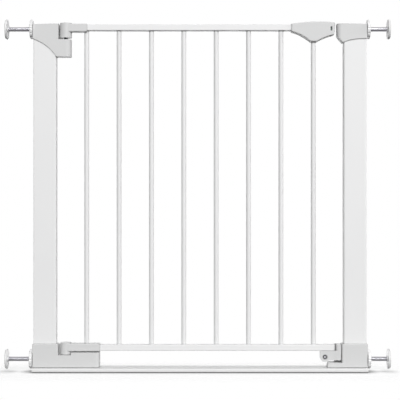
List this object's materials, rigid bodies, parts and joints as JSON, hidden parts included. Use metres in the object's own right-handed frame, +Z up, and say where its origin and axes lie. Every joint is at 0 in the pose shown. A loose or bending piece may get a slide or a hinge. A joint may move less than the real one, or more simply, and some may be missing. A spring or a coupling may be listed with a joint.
{
  "type": "safety gate",
  "caption": "Pressure-fit safety gate with a hinged barred door, latch handle, threshold bar and adjustable wall pads.",
  "frame": {"origin": "middle of the overall box, on the floor", "axes": "+X to the right along the gate, +Y away from the viewer, +Z up"},
  "size_m": [0.8042, 0.046, 0.7373],
  "materials": {
    "powder_coat": "satin white powder coat",
    "moulding": "fine-grained white moulding",
    "zinc_steel": "bright zinc plate",
    "pad_plastic": "smooth white moulding",
    "pad_rubber": "matte pale rubber",
    "indicator": "dark matte"
  },
  "bodies": {
    "frame": {"left_post": "powder_coat", "right_post": "powder_coat", "threshold_bar": "powder_coat", "left_corner_foot": "moulding", "right_corner_foot": "moulding", "hinge_cap": "moulding", "latch_catch": "moulding", "cap_screws": "zinc_steel", "threshold_screws": "zinc_steel"},
    "hinge_pins": {"top_hinge_pin": "zinc_steel", "bottom_hinge_pin": "zinc_steel"},
    "door": {"top_rail": "powder_coat", "bottom_rail": "powder_coat", "bar_1": "powder_coat", "bar_2": "powder_coat", "bar_3": "powder_coat", "bar_4": "powder_coat", "bar_5": "powder_coat", "bar_6": "powder_coat", "bar_7": "powder_coat", "bar_8": "powder_coat", "top_hinge_arm": "moulding", "bottom_hinge_arm": "moulding", "handle_front_shell": "moulding", "handle_rear_shell": "moulding", "handle_screws": "zinc_steel", "top_rail_plug": "moulding", "bottom_rail_plug": "moulding", "stop_bracket": "powder_coat", "opening_stop": "moulding", "stop_screw": "zinc_steel"},
    "latch": {"latch_bolt": "moulding", "release_slider": "moulding", "lock_indicator": "indicator", "bolt_spring": "zinc_steel"},
    "top_left_nut": {"top_left_hand_nut": "pad_plastic"},
    "top_left_fixing": {"top_left_spindle": "zinc_steel", "top_left_wall_pad": "pad_plastic", "top_left_pad_grip": "pad_rubber"},
    "top_right_nut": {"top_right_hand_nut": "pad_plastic"},
    "top_right_fixing": {"top_right_spindle": "zinc_steel", "top_right_wall_pad": "pad_plastic", "top_right_pad_grip": "pad_rubber"},
    "bottom_left_nut": {"bottom_left_hand_nut": "pad_plastic"},
    "bottom_left_fixing": {"bottom_left_spindle": "zinc_steel", "bottom_left_wall_pad": "pad_plastic", "bottom_left_pad_grip": "pad_rubber"},
    "bottom_right_nut": {"bottom_right_hand_nut": "pad_plastic"},
    "bottom_right_fixing": {"bottom_right_spindle": "zinc_steel", "bottom_right_wall_pad": "pad_plastic", "bottom_right_pad_grip": "pad_rubber"}
  },
  "joints": [
    {"name": "door_swing", "type": "hinge", "parent": "frame", "child": "hinge_pins", "pos_m": [-0.27575, 0, 0.036], "axis": [0, 0, -1], "range_deg": [0, 90]},
    {"name": "door_lift", "type": "slide", "parent": "hinge_pins", "child": "door", "axis": [0, 0, 1], "range_m": [0, 0.012]},
    {"name": "latch_slide", "type": "slide", "parent": "door", "child": "latch", "axis": [1, 0, 0], "range_m": [0, 0.01], "stiffness_N_per_m": 150, "springref_m": 0.018, "deforming": ["bolt_spring"]},
    {"name": "top_left_nut_turn", "type": "hinge", "parent": "frame", "child": "top_left_nut", "pos_m": [-0.34775, 0, 0.7163], "axis": [1, 0, 0], "range_deg": [-7441, 1]},
    {"name": "top_left_spindle_slide", "type": "slide", "parent": "frame", "child": "top_left_fixing", "axis": [-1, 0, 0], "range_m": [-0.031, 0]},
    {"name": "top_right_nut_turn", "type": "hinge", "parent": "frame", "child": "top_right_nut", "pos_m": [0.35725, 0, 0.7163], "axis": [-1, 0, 0], "range_deg": [-5281, 2353]},
    {"name": "top_right_spindle_slide", "type": "slide", "parent": "frame", "child": "top_right_fixing", "axis": [1, 0, 0], "range_m": [-0.022, 0.0098]},
    {"name": "bottom_left_nut_turn", "type": "hinge", "parent": "frame", "child": "bottom_left_nut", "pos_m": [-0.34775, 0, 0.0267], "axis": [1, 0, 0], "range_deg": [-7441, 1]},
    {"name": "bottom_left_spindle_slide", "type": "slide", "parent": "frame", "child": "bottom_left_fixing", "axis": [-1, 0, 0], "range_m": [-0.031, 0]},
    {"name": "bottom_right_nut_turn", "type": "hinge", "parent": "frame", "child": "bottom_right_nut", "pos_m": [0.35725, 0, 0.0267], "axis": [-1, 0, 0], "range_deg": [-5281, 2353]},
    {"name": "bottom_right_spindle_slide", "type": "slide", "parent": "frame", "child": "bottom_right_fixing", "axis": [1, 0, 0], "range_m": [-0.022, 0.0098]}
  ],
  "couplings": [
    {"joint": "top_left_nut_turn", "follows": "top_left_spindle_slide", "rad_per_m": 4188.8},
    {"joint": "top_right_nut_turn", "follows": "top_right_spindle_slide", "rad_per_m": 4188.8},
    {"joint": "bottom_left_nut_turn", "follows": "bottom_left_spindle_slide", "rad_per_m": 4188.8},
    {"joint": "bottom_right_nut_turn", "follows": "bottom_right_spindle_slide", "rad_per_m": 4188.8}
  ]
}
